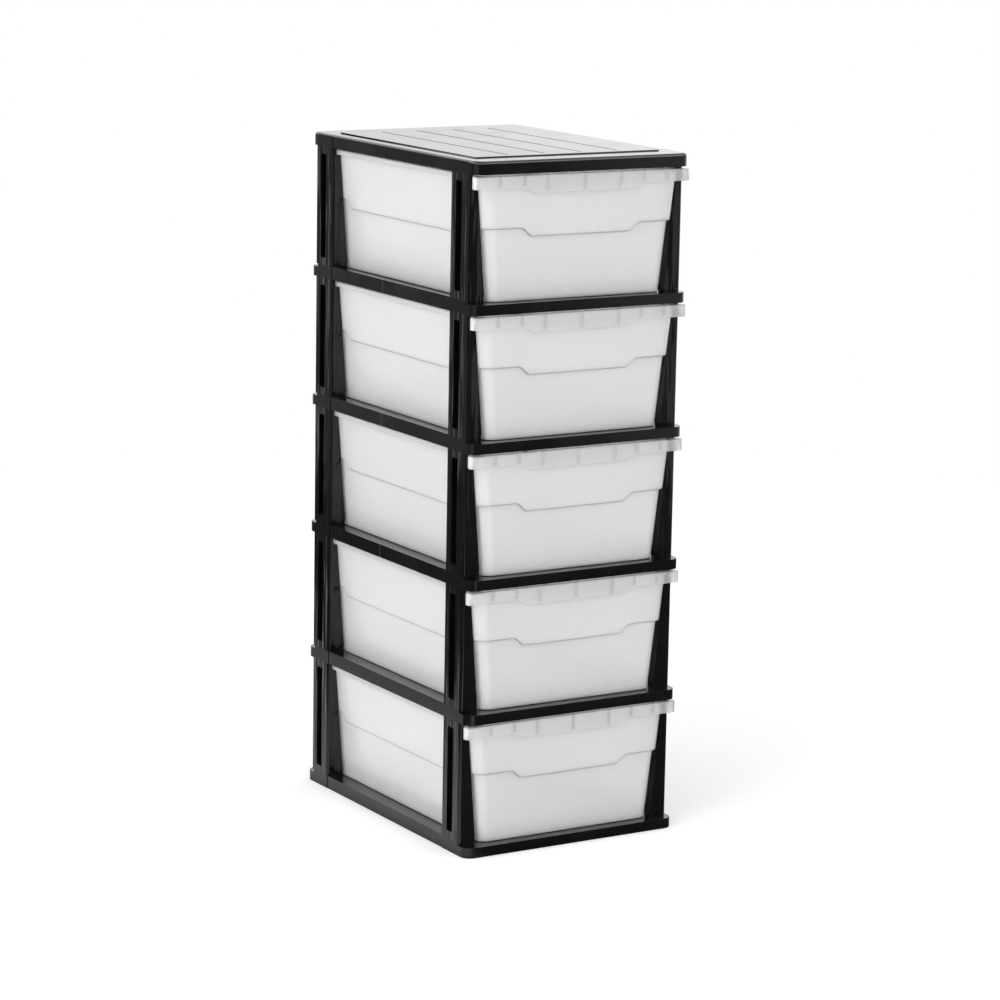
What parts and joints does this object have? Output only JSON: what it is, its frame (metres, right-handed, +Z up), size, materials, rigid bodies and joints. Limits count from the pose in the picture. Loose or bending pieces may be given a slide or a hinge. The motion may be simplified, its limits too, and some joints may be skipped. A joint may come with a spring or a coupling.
{
  "type": "plastic drawer tower",
  "caption": "Free-standing tower of stacked black plastic frames on slotted corner posts, with a grooved lid and milky pull-out drawers.",
  "frame": {"origin": "under the middle of the base, on the plane the tower stands on", "axes": "+Z up, the drawers open towards -Y, +X to the right seen from the front"},
  "size_m": [0.28, 0.383, 0.786],
  "materials": {
    "frame": "glossy black injection-moulded plastic",
    "drawer": "milky translucent polypropylene"
  },
  "bodies": {
    "frame": {"base_front": "frame", "base_rear": "frame", "shelf_1_front": "frame", "shelf_1_rear": "frame", "shelf_2_front": "frame", "shelf_2_rear": "frame", "shelf_3_front": "frame", "shelf_3_rear": "frame", "shelf_4_front": "frame", "shelf_4_rear": "frame", "post_1_front_left": "frame", "post_1_front_right": "frame", "post_1_rear_left": "frame", "post_1_rear_right": "frame", "post_2_front_left": "frame", "post_2_front_right": "frame", "post_2_rear_left": "frame", "post_2_rear_right": "frame", "post_3_front_left": "frame", "post_3_front_right": "frame", "post_3_rear_left": "frame", "post_3_rear_right": "frame", "post_4_front_left": "frame", "post_4_front_right": "frame", "post_4_rear_left": "frame", "post_4_rear_right": "frame", "post_5_front_left": "frame", "post_5_front_right": "frame", "post_5_rear_left": "frame", "post_5_rear_right": "frame", "lid": "frame"},
    "drawer_1": {"drawer_1": "drawer"},
    "drawer_2": {"drawer_2": "drawer"},
    "drawer_3": {"drawer_3": "drawer"},
    "drawer_4": {"drawer_4": "drawer"},
    "drawer_5": {"drawer_5": "drawer"}
  },
  "joints": [
    {"name": "drawer_1_slide", "type": "slide", "parent": "frame", "child": "drawer_1", "axis": [0, -1, 0], "range_m": [0, 0.3]},
    {"name": "drawer_2_slide", "type": "slide", "parent": "frame", "child": "drawer_2", "axis": [0, -1, 0], "range_m": [0, 0.3]},
    {"name": "drawer_3_slide", "type": "slide", "parent": "frame", "child": "drawer_3", "axis": [0, -1, 0], "range_m": [0, 0.3]},
    {"name": "drawer_4_slide", "type": "slide", "parent": "frame", "child": "drawer_4", "axis": [0, -1, 0], "range_m": [0, 0.3]},
    {"name": "drawer_5_slide", "type": "slide", "parent": "frame", "child": "drawer_5", "axis": [0, -1, 0], "range_m": [0, 0.3]}
  ]
}
